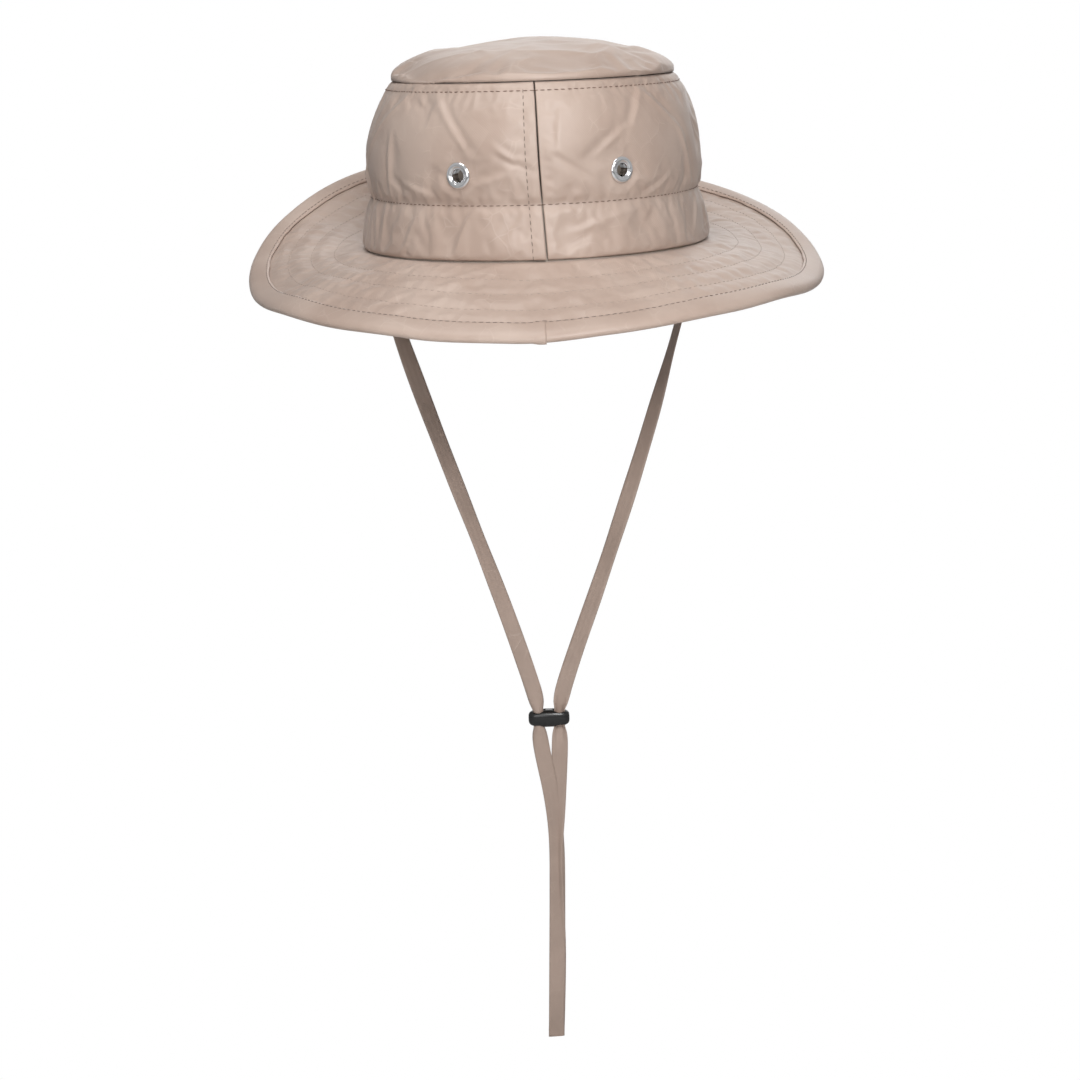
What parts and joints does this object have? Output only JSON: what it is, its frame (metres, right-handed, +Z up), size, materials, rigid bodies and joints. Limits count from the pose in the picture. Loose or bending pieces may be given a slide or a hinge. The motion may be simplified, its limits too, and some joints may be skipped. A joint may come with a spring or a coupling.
{
  "type": "boonie hat",
  "caption": "Soft wide-brim boonie hat with a crinkled nylon crown, metal vent eyelets, stitched bound brim and a hanging flat chin strap with a sliding bean toggle.",
  "frame": {"origin": "centre of the head opening, level with the seam between crown and brim", "axes": "+Z up through the crown; -Y towards the side with the crown's lapped seam and the binding's joint; X across the head, Y along it"},
  "size_m": [0.288, 0.3161, 0.5286],
  "materials": {
    "shell_cloth": "satin crinkled nylon",
    "tape_cloth": "satin nylon tape",
    "lining_cloth": "smooth lining",
    "band_cloth": "woven cotton",
    "interlining": "matte non-woven",
    "label_cloth": "satin label",
    "eyelet_metal": "polished",
    "toggle_plastic": "gloss black"
  },
  "bodies": {
    "hat": {"crown_top": "shell_cloth", "crown_side_left": "shell_cloth", "crown_side_right": "shell_cloth", "lining_top": "lining_cloth", "lining_side": "lining_cloth", "top_seam_tape": "band_cloth", "sweatband": "band_cloth", "brim_top": "shell_cloth", "brim_interlining": "interlining", "brim_underside": "shell_cloth", "brim_binding": "tape_cloth", "eyelet_front_left": "eyelet_metal", "eyelet_front_right": "eyelet_metal", "eyelet_back_left": "eyelet_metal", "eyelet_back_right": "eyelet_metal", "washer_front_left": "eyelet_metal", "washer_front_right": "eyelet_metal", "washer_back_left": "eyelet_metal", "washer_back_right": "eyelet_metal", "strap_anchor_left": "tape_cloth", "strap_anchor_right": "tape_cloth", "care_label": "label_cloth"},
    "chin_strap": {"chin_strap_left": "tape_cloth", "chin_strap_right": "tape_cloth"},
    "toggle": {"strap_toggle": "toggle_plastic"}
  },
  "joints": [
    {"name": "chin_strap_swing", "type": "hinge", "parent": "hat", "child": "chin_strap", "pos_m": [0, 0, 0], "axis": [1, 0, 0], "range_deg": [-65, 65]},
    {"name": "toggle_slide", "type": "slide", "parent": "chin_strap", "child": "toggle", "axis": [0, 0, 1], "range_m": [-0.11, 0.14], "deforming": ["chin_strap_left", "chin_strap_right"]}
  ]
}
